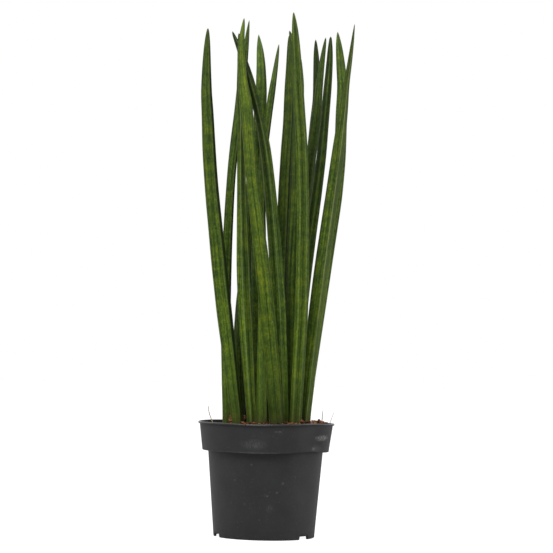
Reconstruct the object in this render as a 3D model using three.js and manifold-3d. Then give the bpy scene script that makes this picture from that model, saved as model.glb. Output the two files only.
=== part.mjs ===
// Cylindrical snake plant, about 65 cm tall, in the black plastic pot it was grown in.
// Millimetres, +Z up. The origin is the middle of the pot's underside, on the surface it
// stands on, and the side seen from the front faces -Y.
import * as THREE from 'three';
import { mergeVertices } from 'three/addons/utils/BufferGeometryUtils.js';
import Module from 'manifold-3d';

// Pot: a 17 cm grower's pot, with a deep band under its lip and a foot cut by drain notches.
const RIM_RADIUS = 85;
const RIM_HEIGHT = 142;
const LIP_HEIGHT = 2.4; // depth of the thin bead round the mouth
const LIP_ROUND = 0.6; // how far the bead's corners are rounded off
const WALL = 1.6; // thickness of the moulded wall
const BAND_BOTTOM = 106.5; // height of the step under the band
const BAND_RADIUS = 79.2; // outside of the band at its lower edge
const BAND_TOP_RADIUS = 83.4; // outside of the band just under the lip
const NECK_RADIUS = 71.9; // outside of the wall where the band overhangs it
const FOOT_RADIUS = 63;
const FOOT_WIDTH = 2.4;
const FLOOR_UNDERSIDE = 4.8;
const BOSS_RADIUS = 17; // flat disc in the middle of the underside, level with the foot
const NOTCH = { width: 16.5, height: 4.2, first: -38.5, count: 3 }; // drain notches in the foot
const DRAIN = { radius: 4.5, ring: 44, count: 6, sides: 14 }; // drain holes in the floor

// Soil: coarse crumbs of bark and coir, mounded round the leaves and lowest on the left.
const SOIL_LEVEL = 137;
const SOIL_TILT = 0.03; // rise per millimetre towards +X
const SOIL_CRUMB = 1.3; // how far a crumb stands above or below the level
const SOIL_MOUND = { x: 12, y: -18, height: 5, spread: 58 };
const SOIL_RINGS = 14;

// Leaves: they stand in sockets in the soil, and taper over their last sixth to a point.
const LEAF_DEPTH = 25; // length of each leaf below the soil's level
const LEAF_SIDES = 12; // ribs and grooves in turn, six of each
const GROOVE = 0.08; // depth of a groove below the ribs, as a share of the leaf's radius
const CHANNEL = 0.2; // depth of the one wide channel, which fades out up the leaf
const CHANNEL_FADE = [0.5, 1]; // shares of the height between which it fades
const FLATNESS = 0.93; // thickness of a leaf as a share of its breadth
const POINT_CURVE = 8; // a large value keeps a leaf's drawn-in point short
const SPINE_STATIONS = [0, 0.33, 0.64, 0.75, 0.85, 0.93, 1]; // shares of the height, for x
const BREADTH_STATIONS = [0, 0.33, 0.66, 0.76, 0.85];
const RING_STATIONS = [
  0, 0.1, 0.2, 0.3, 0.4, 0.5, 0.6, 0.69, 0.78, 0.85, 0.91, 0.95, 0.97, 0.985, 0.995,
];

const GAP = 0.3; // clearance between pieces that touch
const FACETS = 60; // sides of the pot and of the soil

// x: sideways place at each spine station. y: place from front to back at soil and at tip.
// breadth: at each breadth station. blunt: a small value gives a blunt end, a large one a
// long point. point: how much the last centimetre is drawn in, from 0 to 1. channel: the way
// the wide channel faces, in degrees from +X.
const LEAVES = [
  { name: 'leaf_01', top: 629, x: [-36, -57.2, -75.4, -79.1, -82.4, -82.7, -82.1], y: [-36, -56],
    breadth: [14.6, 19, 16.7, 15, 12.9], blunt: 0.42, point: 0.3, channel: 336 },
  { name: 'leaf_02', top: 648, x: [-48.8, -53.6, -49.2, -43.6, -39.1, -35.2, -31.7], y: [-10, -18],
    breadth: [11.3, 12.6, 10.7, 11.1, 11.2], blunt: 0.62, point: 0.1, channel: 338 },
  { name: 'leaf_03', top: 506, x: [-31.2, -35, -26.7, -27.1, -27.4, -28.4, -28.4], y: [20, 60],
    breadth: [13.7, 17.1, 15, 11.4, 9.9], blunt: 0.6, point: 0.1, channel: 335 },
  { name: 'leaf_04', top: 628, x: [-17.7, -30.6, -37.3, -38.4, -39.8, -41.3, -44.1], y: [-15, -34],
    breadth: [13.3, 17.3, 10.8, 9, 11], blunt: 0.4, point: 0.3, channel: 293 },
  { name: 'leaf_05', top: 640, x: [-9.1, -13.9, -14.9, -16.5, -15, -16.4, -20], y: [16, 34],
    breadth: [15.6, 18, 15.1, 15.9, 14.2], blunt: 0.36, point: 0.75, channel: 332 },
  { name: 'leaf_06', top: 627, x: [-4.3, -7.5, -11.8, -7.7, -2.5, 2.5, 6.5], y: [-26, 30],
    breadth: [16, 11.3, 10.3, 8.9, 8.9], blunt: 0.5, point: 0.1, channel: 335 },
  { name: 'leaf_07', top: 642, x: [13.2, -4.5, -25.9, -30.6, -37.8, -40.3, -37.5], y: [-45, -58],
    breadth: [18.5, 18.4, 14, 16.3, 11.4], blunt: 0.45, point: 0.3, channel: 152 },
  { name: 'leaf_08', top: 637, x: [21.3, 11.7, -4.2, -13.1, -26.7, -38.9, -53.3], y: [-28, 2],
    breadth: [14, 17.2, 15, 10.5, 12.5], blunt: 0.48, point: 0.1, channel: 245 },
  { name: 'leaf_09', top: 640, x: [13.3, 14.7, 17.6, 20.2, 20.7, 20.7, 19.4], y: [20, 36],
    breadth: [14, 15.2, 14.6, 13.3, 11.9], blunt: 0.45, point: 0.3, channel: 340 },
  { name: 'leaf_10', top: 640, x: [30.9, 28.3, 32.2, 32.7, 31.7, 29.4, 19.4], y: [2, 4],
    breadth: [14, 15.4, 15.7, 12.4, 15.6], blunt: 0.5, point: 0.2, channel: 200 },
  { name: 'leaf_11', top: 652, x: [36.3, 41.2, 38.3, 33.8, 30.1, 27.1, 23.6], y: [-34, -52],
    breadth: [14.9, 16.2, 14.1, 14, 12.2], blunt: 0.36, point: 0.5, channel: 272 },
  { name: 'leaf_12', top: 644, x: [31.2, 41, 50.2, 54.1, 58.1, 56.6, 54.9], y: [52, 80],
    breadth: [14.3, 13.5, 12.8, 12.2, 11.2], blunt: 0.36, point: 0.45, channel: 338 },
  { name: 'leaf_13', top: 643, x: [35.8, 43.1, 48.9, 55.7, 59.5, 63, 67.6], y: [37, 60],
    breadth: [13.7, 14, 11.8, 14.2, 9.9], blunt: 0.42, point: 0.2, channel: 95 },
  { name: 'leaf_14', top: 641, x: [33.5, 44.3, 61.8, 66.6, 70, 72.5, 73.4], y: [22, 42],
    breadth: [15.1, 14.9, 12.9, 11.2, 10.8], blunt: 0.3, point: 0.35, channel: 235 },
  { name: 'leaf_15', top: 644, x: [45.8, 67.7, 86.6, 87.7, 89.3, 85.5, 81.6], y: [9, 26],
    breadth: [15.9, 13.9, 14.6, 14.6, 13.9], blunt: 0.38, point: 0.6, channel: 86 },
  { name: 'leaf_16', top: 645, x: [47.4, 62.3, 81.1, 87.4, 92.5, 97.5, 101.2], y: [-10, -22],
    breadth: [15.7, 18.5, 16, 11.9, 7.4], blunt: 0.58, point: 0.1, channel: 323 },
];

const MATERIALS = {
  pot: new THREE.MeshStandardMaterial({ color: 0x2f3132, roughness: 0.62, metalness: 0 }),
  soil: new THREE.MeshStandardMaterial({ color: 0x5a3f2c, roughness: 1, metalness: 0 }),
  leaf: new THREE.MeshStandardMaterial({ color: 0x7d9a55, roughness: 0.5, metalness: 0 }),
};

const wasm = await Module();
wasm.setup();

function toSolid(geometry) {
  const bare = geometry.clone();
  bare.deleteAttribute('normal');
  bare.deleteAttribute('uv');
  const merged = mergeVertices(bare);
  return new wasm.Manifold(new wasm.Mesh({
    numProp: 3,
    vertProperties: new Float32Array(merged.attributes.position.array),
    triVerts: new Uint32Array(merged.index.array),
  }));
}

function toGeometry(solid) {
  const { vertProperties, triVerts } = solid.getMesh();
  const geometry = new THREE.BufferGeometry();
  geometry.setAttribute('position', new THREE.BufferAttribute(vertProperties, 3));
  geometry.setIndex(new THREE.BufferAttribute(triVerts, 1));
  return geometry;
}

// A closed skin over rings of equal count, each running anticlockwise seen from its end side,
// with a point that closes it at the start and another at the end.
function skin(rings, start, end) {
  const count = rings[0].length;
  const points = [start, ...rings.flat(), end];
  const last = points.length - 1;
  const index = [];
  for (let k = 0; k < count; k++) {
    const next = (k + 1) % count;
    index.push(0, 1 + next, 1 + k);
    for (let row = 0; row < rings.length - 1; row++) {
      const low = 1 + row * count;
      const high = low + count;
      index.push(low + k, low + next, high + next);
      index.push(low + k, high + next, high + k);
    }
    const top = last - count;
    index.push(last, top + k, top + next);
  }
  const geometry = new THREE.BufferGeometry().setFromPoints(points);
  geometry.setIndex(index);
  return geometry;
}

function circle(radius, heightAt) {
  return Array.from({ length: FACETS }, (_, k) => {
    const turn = (k / FACETS) * 2 * Math.PI;
    const x = radius * Math.cos(turn);
    const y = radius * Math.sin(turn);
    return new THREE.Vector3(x, y, heightAt(x, y));
  });
}

function wallRadius(z) {
  return THREE.MathUtils.mapLinear(z, 0, BAND_BOTTOM, FOOT_RADIUS, NECK_RADIUS);
}

function bandRadius(z) {
  return THREE.MathUtils.mapLinear(z, BAND_BOTTOM, RIM_HEIGHT, BAND_RADIUS, BAND_TOP_RADIUS);
}

const FLOOR_TOP = FLOOR_UNDERSIDE + WALL;
const SHELF_TOP = BAND_BOTTOM + WALL; // inside of the step, where the soil's shoulder lies

function makePot() {
  const lipBottom = RIM_HEIGHT - LIP_HEIGHT;
  const profile = [
    [BOSS_RADIUS, 0],
    [BOSS_RADIUS, FLOOR_UNDERSIDE],
    [FOOT_RADIUS - FOOT_WIDTH, FLOOR_UNDERSIDE],
    [FOOT_RADIUS - FOOT_WIDTH, 0],
    [FOOT_RADIUS, 0],
    [NECK_RADIUS, BAND_BOTTOM],
    [BAND_RADIUS, BAND_BOTTOM],
    [bandRadius(lipBottom), lipBottom],
    [RIM_RADIUS - LIP_ROUND, lipBottom],
    [RIM_RADIUS, lipBottom + LIP_ROUND],
    [RIM_RADIUS, RIM_HEIGHT - LIP_ROUND],
    [RIM_RADIUS - LIP_ROUND, RIM_HEIGHT],
    [bandRadius(RIM_HEIGHT) - WALL, RIM_HEIGHT],
    [bandRadius(SHELF_TOP) - WALL, SHELF_TOP],
    [wallRadius(SHELF_TOP) - WALL, SHELF_TOP],
    [wallRadius(FLOOR_TOP) - WALL, FLOOR_TOP],
  ];
  const rings = profile.map(([radius, z]) => circle(radius, () => z));
  let pot = toSolid(skin(rings, new THREE.Vector3(), new THREE.Vector3(0, 0, FLOOR_TOP)));

  for (let k = 0; k < NOTCH.count; k++) {
    const turn = THREE.MathUtils.degToRad(NOTCH.first + (360 * k) / NOTCH.count);
    const notch = new THREE.BoxGeometry(4 * FOOT_WIDTH, NOTCH.width, 2 * NOTCH.height);
    notch.translate(FOOT_RADIUS - FOOT_WIDTH / 2, 0, 0).rotateZ(turn);
    pot = pot.subtract(toSolid(notch));
  }
  for (let k = 0; k < DRAIN.count; k++) {
    const hole = new THREE.CylinderGeometry(DRAIN.radius, DRAIN.radius, 3 * WALL, DRAIN.sides);
    hole.rotateX(Math.PI / 2).translate(DRAIN.ring, 0, FLOOR_UNDERSIDE + WALL / 2);
    hole.rotateZ((k / DRAIN.count) * 2 * Math.PI);
    pot = pot.subtract(toSolid(hole));
  }
  return toGeometry(pot);
}

// Spine of a leaf, from the end of its foot in the soil to its tip.
function leafSpine(leaf) {
  const points = SPINE_STATIONS.map((share, k) => new THREE.Vector3(
    leaf.x[k],
    THREE.MathUtils.lerp(leaf.y[0], leaf.y[1], share),
    THREE.MathUtils.lerp(SOIL_LEVEL, leaf.top, share),
  ));
  points.unshift(new THREE.Vector3(leaf.x[0], leaf.y[0], SOIL_LEVEL - LEAF_DEPTH));
  return new THREE.CatmullRomCurve3(points);
}

function leafBreadth(leaf, share) {
  const last = BREADTH_STATIONS.length - 1;
  if (share > BREADTH_STATIONS[last]) {
    const left = (1 - share) / (1 - BREADTH_STATIONS[last]);
    const drawn = 1 - leaf.point * Math.pow(1 - left, POINT_CURVE);
    return leaf.breadth[last] * Math.pow(left, leaf.blunt) * drawn;
  }
  let k = 1;
  while (k < last && share > BREADTH_STATIONS[k]) k++;
  const along = THREE.MathUtils.smoothstep(share, BREADTH_STATIONS[k - 1], BREADTH_STATIONS[k]);
  return THREE.MathUtils.lerp(leaf.breadth[k - 1], leaf.breadth[k], along);
}

// One ring of a leaf, square to its spine: ribs and grooves in turn, and the wide channel.
// share runs from 0 at the soil to 1 at the tip.
function leafRing(leaf, spine, share, grow = 0) {
  const buried = LEAF_DEPTH / (leaf.top - SOIL_LEVEL + LEAF_DEPTH);
  const along = THREE.MathUtils.clamp(buried + share * (1 - buried), 0, 1);
  const centre = spine.getPointAt(along);
  const tangent = spine.getTangentAt(along);
  const side = new THREE.Vector3(1, 0, 0).addScaledVector(tangent, -tangent.x).normalize();
  const back = new THREE.Vector3().crossVectors(tangent, side);
  const radius = leafBreadth(leaf, Math.max(share, 0)) / 2;
  const channel = CHANNEL * (1 - THREE.MathUtils.smoothstep(share, ...CHANNEL_FADE));

  return Array.from({ length: LEAF_SIDES }, (_, k) => {
    const turn = (k / LEAF_SIDES) * 2 * Math.PI + THREE.MathUtils.degToRad(leaf.channel);
    const groove = k % 2 === 0 ? GROOVE : 0;
    const reach = radius * (1 - (k === 0 ? Math.max(channel, GROOVE) : groove)) + grow;
    return centre.clone()
      .addScaledVector(side, reach * Math.cos(turn))
      .addScaledVector(back, reach * Math.sin(turn) * FLATNESS);
  });
}

function makeLeaf(leaf) {
  const spine = leafSpine(leaf);
  const foot = -LEAF_DEPTH / (leaf.top - SOIL_LEVEL);
  const rings = [foot, ...RING_STATIONS].map((share) => leafRing(leaf, spine, share));
  return skin(rings, spine.getPointAt(0), spine.getPointAt(1));
}

// The hole that a leaf stands in: its own foot, larger by the gap all round.
function makeSocket(leaf) {
  const spine = leafSpine(leaf);
  const foot = -LEAF_DEPTH / (leaf.top - SOIL_LEVEL);
  const down = new THREE.Vector3(0, 0, -GAP);
  const rings = [foot, 0, 0.1].map((share) => leafRing(leaf, spine, share, GAP * 1.4));
  rings[0].forEach((point) => point.add(down));
  const middle = (ring) => ring.reduce((sum, p) => sum.add(p), new THREE.Vector3())
    .divideScalar(ring.length);
  return skin(rings, middle(rings[0]), middle(rings[2]));
}

// Small repeatable random numbers from 0 to 1.
function makeRandom(seed) {
  let state = seed;
  return () => {
    state = (state * 1664525 + 1013904223) % 4294967296;
    return state / 4294967296;
  };
}

function makeSoil() {
  const random = makeRandom(17);
  const level = (x, y) => {
    const away = Math.hypot(x - SOIL_MOUND.x, y - SOIL_MOUND.y) / SOIL_MOUND.spread;
    return SOIL_LEVEL + SOIL_TILT * x + SOIL_MOUND.height * Math.exp(-away * away);
  };
  const crumb = (x, y) => level(x, y) + SOIL_CRUMB * (2 * random() - 1);
  const lowest = SOIL_LEVEL - SOIL_TILT * RIM_RADIUS - 2 * SOIL_CRUMB;
  const edge = bandRadius(lowest) - WALL - GAP;
  const shoulder = SHELF_TOP + GAP;
  const rings = [
    circle(wallRadius(FLOOR_TOP) - WALL - GAP, () => FLOOR_TOP + GAP),
    circle(wallRadius(SHELF_TOP) - WALL - GAP, () => shoulder),
    circle(bandRadius(SHELF_TOP) - WALL - GAP, () => shoulder),
    circle(edge, (x, y) => level(x, y) - 2 * SOIL_CRUMB),
  ];
  for (let row = SOIL_RINGS; row > 0; row--) {
    const radius = (edge - 1) * (row / (SOIL_RINGS + 0.5));
    rings.push(circle(radius, crumb));
  }
  const bottom = new THREE.Vector3(0, 0, FLOOR_TOP + GAP);
  let soil = toSolid(skin(rings, bottom, new THREE.Vector3(0, 0, level(0, 0))));
  for (const leaf of LEAVES) soil = soil.subtract(toSolid(makeSocket(leaf)));
  return toGeometry(soil);
}

function piece(name, geometry, material) {
  geometry.computeVertexNormals();
  const mesh = new THREE.Mesh(geometry, material.clone());
  mesh.name = name;
  return mesh;
}

const plant = new THREE.Group();
plant.add(piece('pot', makePot(), MATERIALS.pot));
plant.add(piece('soil', makeSoil(), MATERIALS.soil));
for (const leaf of LEAVES) plant.add(piece(leaf.name, makeLeaf(leaf), MATERIALS.leaf));

export default plant;
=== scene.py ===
import math

import bpy
import numpy as np
from mathutils import Matrix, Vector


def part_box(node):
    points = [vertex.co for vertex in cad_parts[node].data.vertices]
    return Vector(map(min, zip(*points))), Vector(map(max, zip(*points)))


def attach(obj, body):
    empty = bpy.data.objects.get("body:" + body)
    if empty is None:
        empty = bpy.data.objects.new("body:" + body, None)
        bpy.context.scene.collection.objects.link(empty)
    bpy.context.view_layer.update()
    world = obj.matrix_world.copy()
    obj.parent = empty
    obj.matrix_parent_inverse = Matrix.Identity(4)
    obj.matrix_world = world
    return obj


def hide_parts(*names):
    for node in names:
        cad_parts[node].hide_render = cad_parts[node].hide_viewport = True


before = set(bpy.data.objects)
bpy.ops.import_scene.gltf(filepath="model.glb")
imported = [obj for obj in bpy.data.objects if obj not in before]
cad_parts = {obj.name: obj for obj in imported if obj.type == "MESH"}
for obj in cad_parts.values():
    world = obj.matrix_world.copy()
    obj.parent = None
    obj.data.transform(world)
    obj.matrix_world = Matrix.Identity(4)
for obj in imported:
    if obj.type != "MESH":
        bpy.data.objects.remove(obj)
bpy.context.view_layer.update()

# ------------------------------------------------------------------------------------------
# Pot. One thin shell of black polypropylene, injection moulded in a single shot, with a deep
# band under its lip, drain holes in the floor and drain notches cut through the foot. It is
# soft enough for the lip to sag between the places where it has been gripped.
# ------------------------------------------------------------------------------------------

RIM_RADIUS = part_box("pot")[1].x
RIM_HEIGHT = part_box("pot")[1].z
LIP_HEIGHT = 0.0024
WALL = 0.0016
BAND_BOTTOM = 0.1065
BAND_RADIUS = 0.0792
BAND_TOP_RADIUS = 0.0834
NECK_RADIUS = 0.0719
FOOT_RADIUS = 0.063
FOOT_WIDTH = 0.0024
FLOOR_UNDERSIDE = 0.0048
FLOOR_TOP = FLOOR_UNDERSIDE + WALL
SHELF_TOP = BAND_BOTTOM + WALL
BOSS_RADIUS = 0.017
AXIS_RADIUS = 0.004  # radius of the rings next to the axis
NOTCH_WIDTH, NOTCH_HEIGHT = 0.0165, 0.0042
NOTCH_TURNS = np.radians([-38.5, 81.5, 201.5])
NOTCH_CORNER = 0.0016  # rounding of a notch's sides, along the foot
DRAIN_RADIUS, DRAIN_RING = 0.0045, 0.044
DRAIN_COUNT, DRAIN_SIDES = 6, 24
POT_STEP = 0.0034  # longest stretch between two rows of the mesh
POT_COLUMNS = 336
NOTCH_COLUMNS = 7  # columns added across each side of a notch
CORNER_POINTS = 6  # points of a profile along a rounded corner

# Where the lip and band rise or sag: direction in degrees from +X, spread in degrees, height.
LIP_WAVES = [(-46, 17, 0.0012), (-100, 20, -0.0009), (70, 40, 0.0006), (145, 32, 0.0010)]
WAVE_BOTTOM = BAND_BOTTOM * 0.8  # height where the wall starts to follow them
LIP_BULGE = (0, 38, 0.0008)  # where the mouth is pushed out, its spread, and how far
DENT = {"turn": -37, "spread": 7.5, "height": 0.1175, "tall": 0.009, "depth": 0.0016}


def turn_from(turns, degrees):
    """How far each turn, in radians, lies from a direction in degrees: from -180 to 180."""
    return (np.degrees(turns) - degrees + 180) % 360 - 180


def smoothstep(low, high, value):
    """0 below low, 1 above high, and an S-curve, 3t^2 - 2t^3, in between."""
    t = np.clip((value - low) / (high - low), 0, 1)
    return t * t * (3 - 2 * t)


def eased_profile(corners, step):
    """A profile through corners, each given as radius, height and ease.

    A corner is cut off at its ease along both of its sides and bridged by the parabola
    (1-t)^2 a + 2t(1-t) corner + t^2 b. Straight stretches are divided into equal lengths no
    longer than step.
    """
    places = np.array([corner[:2] for corner in corners], float)
    eases = [corner[2] for corner in corners[1:]]
    t = np.linspace(0, 1, CORNER_POINTS)[:, None]
    points = [places[:1]]
    for before, here, after, ease in zip(places, places[1:], places[2:], eases):
        a = here + (before - here) * min(ease / np.linalg.norm(before - here), 0.5)
        b = here + (after - here) * min(ease / np.linalg.norm(after - here), 0.5)
        points.append((1 - t) ** 2 * a + 2 * t * (1 - t) * here + t ** 2 * b)
    points = np.concatenate(points + [places[-1:]])
    rows = [points[:1]]
    for start, end in zip(points, points[1:]):
        count = max(1, math.ceil(np.linalg.norm(end - start) / step))
        rows.append(start + (end - start) * np.linspace(0, 1, count + 1)[1:, None])
    return np.concatenate(rows)


def make_piece(name, points, faces, material, smooth=True):
    """An object with a mesh of these points and faces, at the origin."""
    mesh = bpy.data.meshes.new(name)
    mesh.from_pydata(points, [], faces)
    if smooth:
        mesh.shade_smooth()
    mesh.materials.append(material)
    piece = bpy.data.objects.new(name, mesh)
    bpy.context.scene.collection.objects.link(piece)
    return piece


def closed_skin(rings):
    """Points and faces of a closed skin over rings of points, given as rows by columns by xyz.

    Each ring meets the next in quads. The first and the last ring each meet in a fan at their
    own middle. Rings run anticlockwise seen from the last one, so the faces point outwards.
    """
    rows, columns = rings.shape[:2]
    points = np.concatenate([rings.reshape(-1, 3), rings[[0, -1]].mean(axis=1)])
    here = np.arange(rows * columns).reshape(rows, columns)
    after = np.roll(here, -1, axis=1)
    quads = np.stack([here[:-1], after[:-1], after[1:], here[1:]], axis=-1).reshape(-1, 4)
    start = np.full(columns, rows * columns)
    fans = np.concatenate([
        np.stack([start, after[0], here[0]], axis=-1),
        np.stack([start + 1, here[-1], after[-1]], axis=-1),
    ])
    return points, quads.tolist() + fans.tolist()


def cut(piece, points, faces):
    """Takes a closed shape out of a piece, with a Boolean modifier that is then applied."""
    cutter = make_piece("cutter", points, faces, piece.data.materials[0])
    boolean = piece.modifiers.new("cut", "BOOLEAN")
    boolean.operation = "DIFFERENCE"
    boolean.solver = "MANIFOLD"
    boolean.object = cutter
    depsgraph = bpy.context.evaluated_depsgraph_get()
    result = bpy.data.meshes.new_from_object(piece.evaluated_get(depsgraph))
    piece.modifiers.clear()
    piece.data = result
    bpy.data.objects.remove(cutter)


def lathed(radius, height, turns):
    """Points (radius cos turn, radius sin turn, height), round +Z."""
    places = radius * np.cos(turns), radius * np.sin(turns), height
    return np.stack(np.broadcast_arrays(*places), axis=-1)


def wall_radius(height):
    """Outside of the wall at a height: straight from the foot to the neck."""
    return FOOT_RADIUS + (NECK_RADIUS - FOOT_RADIUS) * height / BAND_BOTTOM


def band_radius(height):
    """Outside of the band at a height: straight from its lower edge to the mouth."""
    share = (height - BAND_BOTTOM) / (RIM_HEIGHT - BAND_BOTTOM)
    return BAND_RADIUS + (BAND_TOP_RADIUS - BAND_RADIUS) * share


def pot_profile():
    """Radius and height of each row of the moulding, up its outside and down its inside."""
    lip_bottom = RIM_HEIGHT - LIP_HEIGHT
    foot_inside = FOOT_RADIUS - FOOT_WIDTH
    corners = [
        (AXIS_RADIUS, 0, 0), (BOSS_RADIUS, 0, 0.0004), (BOSS_RADIUS, FLOOR_UNDERSIDE, 0.0006),
        (foot_inside, FLOOR_UNDERSIDE, 0.0006), (foot_inside, 0, 0.0005),
        (FOOT_RADIUS, 0, 0.0007), (NECK_RADIUS, BAND_BOTTOM, 0.0006),
        (BAND_RADIUS, BAND_BOTTOM, 0.0009), (band_radius(lip_bottom), lip_bottom, 0.0004),
        (RIM_RADIUS, lip_bottom, 0.0008), (RIM_RADIUS, RIM_HEIGHT, 0.0010),
        (band_radius(RIM_HEIGHT) - WALL, RIM_HEIGHT, 0.0009),
        (band_radius(SHELF_TOP) - WALL, SHELF_TOP, 0.0008),
        (wall_radius(SHELF_TOP) - WALL, SHELF_TOP, 0.0010),
        (wall_radius(FLOOR_TOP) - WALL, FLOOR_TOP, 0.0020), (AXIS_RADIUS, FLOOR_TOP, 0),
    ]
    return eased_profile(corners, POT_STEP).T[:, :, None]


def pot_rings():
    """The moulding's surface, lathed round +Z and then bent.

    A point of the profile at radius r and height z stands at (r cos turn, r sin turn, z). In the
    foot z is raised by notch * (1 - z / underside), so the notches end at the floor's underside.
    Above the neck z follows the lip's waves, and r the bulge of the mouth and the dent, each a
    bell exp(-(turn / spread)^2) round its own direction.
    """
    radius, height = pot_profile()
    even = np.linspace(-math.pi, math.pi, POT_COLUMNS, endpoint=False)
    side = NOTCH_WIDTH / 2 / FOOT_RADIUS
    fine = np.linspace(-1, 1, NOTCH_COLUMNS) * NOTCH_CORNER / 2 / FOOT_RADIUS
    edges = (NOTCH_TURNS[:, None, None] + np.array([-side, side])[:, None] + fine).ravel()
    edges = (edges + math.pi) % (2 * math.pi) - math.pi
    turns = np.unique(np.concatenate([even, edges]).round(5))[None]

    off = np.abs((turns - NOTCH_TURNS[:, None] + math.pi) % (2 * math.pi) - math.pi).min(axis=0)
    within = (side - off) * FOOT_RADIUS
    notch = NOTCH_HEIGHT * smoothstep(-NOTCH_CORNER / 2, NOTCH_CORNER / 2, within)
    in_foot = (radius > BOSS_RADIUS * 2) & (height < FLOOR_UNDERSIDE)
    lifted = height + in_foot * notch * (1 - height / FLOOR_UNDERSIDE)

    waves = sum(rise * np.exp(-(turn_from(turns, at) / spread) ** 2)
                for at, spread, rise in LIP_WAVES)
    lifted = lifted + waves * smoothstep(WAVE_BOTTOM, BAND_BOTTOM, height)
    at, spread, push = LIP_BULGE
    bulge = push * np.exp(-(turn_from(turns, at) / spread) ** 2)
    across = turn_from(turns, DENT["turn"]) / DENT["spread"]
    down = (height - DENT["height"]) / DENT["tall"]
    dent = DENT["depth"] * np.exp(-across ** 2 - down ** 2) * (radius > NECK_RADIUS)
    reach = radius + bulge * smoothstep(BAND_BOTTOM, RIM_HEIGHT, height) - dent
    return lathed(reach, lifted, turns)


def cut_drains(pot):
    """Cuts the drain holes, a ring of round ones, through the floor."""
    heights = np.array([FLOOR_UNDERSIDE - WALL, FLOOR_TOP + WALL])[:, None]
    turns = np.linspace(0, 2 * math.pi, DRAIN_SIDES, endpoint=False)
    drain = lathed(DRAIN_RADIUS, heights, turns)
    for k in range(DRAIN_COUNT):
        centre = lathed(DRAIN_RING, 0, 2 * math.pi * k / DRAIN_COUNT)
        cut(pot, *closed_skin(drain + centre))


# Linear colours of the plastic, of what handling and use have left on it, of its painted
# highlights and shade, and of the darker inside of the band.
PLASTIC_BLACKS = [(0.30, (0.0185, 0.0188, 0.0196)), (0.72, (0.0258, 0.0262, 0.0272))]
DUST = (0.22, 0.21, 0.20)
# Worn edges with a painted highlight, on the lip and the band's lower edge.
WORN_AND_HIGHLIT_EDGE = (0.12, 0.12, 0.12)
# Painted shade, close under the band and in the dent.
PAINTED_SHADE_BLACK = (0.008, 0.008, 0.008)
# The darker inside of the band.
INSIDE_DARKENING = (0.004, 0.003, 0.003)
CHALK = (0.55, 0.55, 0.52)

INSIDE_DARKENING_BOTTOM = 0.130  # height where the darkening inside the band starts
DENT_SHADE_SPOT = ((0.0600, -0.0535, 0.1170), (0.0200, 0.0200, 0.0100))  # centre and reach of the painted shade in the dent

# Scuffs, as centre, reach and strength: a chalky smear on the right of the band, and soft
# rubbed patches and specks on its front and on the wall below.
SCUFFS = [
    ((0.0698, -0.0424, 0.1250), (0.0160, 0.0180, 0.0044), 1.0),
    ((0.0592, -0.0533, 0.1119), (0.0045, 0.0045, 0.0030), 0.45),
    ((-0.0143, -0.0794, 0.1166), (0.0180, 0.0200, 0.0075), 0.16),
    ((0.0151, -0.0807, 0.1327), (0.0060, 0.0050, 0.0012), 0.30),
    ((-0.0163, -0.0685, 0.0920), (0.0020, 0.0030, 0.0016), 0.20),
    ((-0.0368, -0.0582, 0.0726), (0.0020, 0.0040, 0.0018), 0.16),
    ((0.0219, -0.0651, 0.0700), (0.0018, 0.0026, 0.0020), 0.35),
    ((0.0148, -0.0662, 0.0584), (0.0018, 0.0030, 0.0014), 0.22),
    ((0.0030, -0.0675, 0.0545), (0.0020, 0.0040, 0.0014), 0.30),
    ((-0.0239, -0.0622, 0.0440), (0.0030, 0.0050, 0.0020), 0.12),
    ((0.0067, -0.0657, 0.0388), (0.0060, 0.0080, 0.0060), 0.10),
]


def new_material(name):
    """A material with a Principled shader alone; returns the material and the shader."""
    material = bpy.data.materials.new(name)
    material.use_nodes = True
    return material, material.node_tree.nodes["Principled BSDF"]


def set_inputs(made, inputs):
    """Gives a node's inputs, by name or place, a socket each to read or a value of their own."""
    for key, value in inputs.items():
        if isinstance(value, bpy.types.NodeSocket):
            made.id_data.links.new(value, made.inputs[key])
        else:
            made.inputs[key].default_value = value


def source(owner, kind, output, **settings):
    """An output of a new node of a material or a world, one that reads no other node."""
    made = owner.node_tree.nodes.new("ShaderNode" + kind)
    for key, value in settings.items():
        setattr(made, key, value)
    return made.outputs[output]


def node(kind, inputs, **settings):
    """A new node, in the tree that the first socket among its inputs belongs to."""
    sockets = [value for value in inputs.values() if isinstance(value, bpy.types.NodeSocket)]
    made = sockets[0].id_data.nodes.new("ShaderNode" + kind)
    for key, value in settings.items():
        setattr(made, key, value)
    set_inputs(made, inputs)
    return made


def maths(operation, a, b=0.0, clamp=False):
    """a and b put together by one operation of a Math node."""
    return node("Math", {0: a, 1: b}, operation=operation, use_clamp=clamp).outputs[0]


def ranged(value, low, high, to_low=0.0, to_high=1.0):
    """value's stretch from low to high made into the one from to_low to to_high, clamped."""
    inputs = {"Value": value, "From Min": low, "From Max": high,
              "To Min": to_low, "To Max": to_high}
    return node("MapRange", inputs).outputs["Result"]


def ramp(factor, stops):
    """A colour ramp through stops, each a place from 0 to 1 and a linear colour."""
    made = node("ValToRGB", {0: factor})
    elements = made.color_ramp.elements
    while len(elements) < len(stops):
        elements.new(0.5)
    for element, (place, colour) in zip(elements, stops):
        element.position = place
        element.color = (*colour, 1)
    return made.outputs["Color"]


def mixed(factor, a, b, mode="MIX"):
    """Colour a turned towards colour b by factor."""
    return node("Mix", {0: factor, 6: a, 7: b}, data_type="RGBA", blend_type=mode).outputs[2]


def coated(colour, *coats):
    """A colour under coats laid one after another, each a factor and a linear colour."""
    for factor, coat in coats:
        colour = mixed(factor, colour, (*coat, 1))
    return colour


def noise(vector, scale, detail=2.0, rough=0.5, distortion=0.0):
    """Noise from 0 to 1 at a scale in features per unit of the vector."""
    inputs = {"Vector": vector, "Scale": scale, "Detail": detail, "Roughness": rough,
              "Distortion": distortion}
    return node("TexNoise", inputs).outputs["Fac"]


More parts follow.
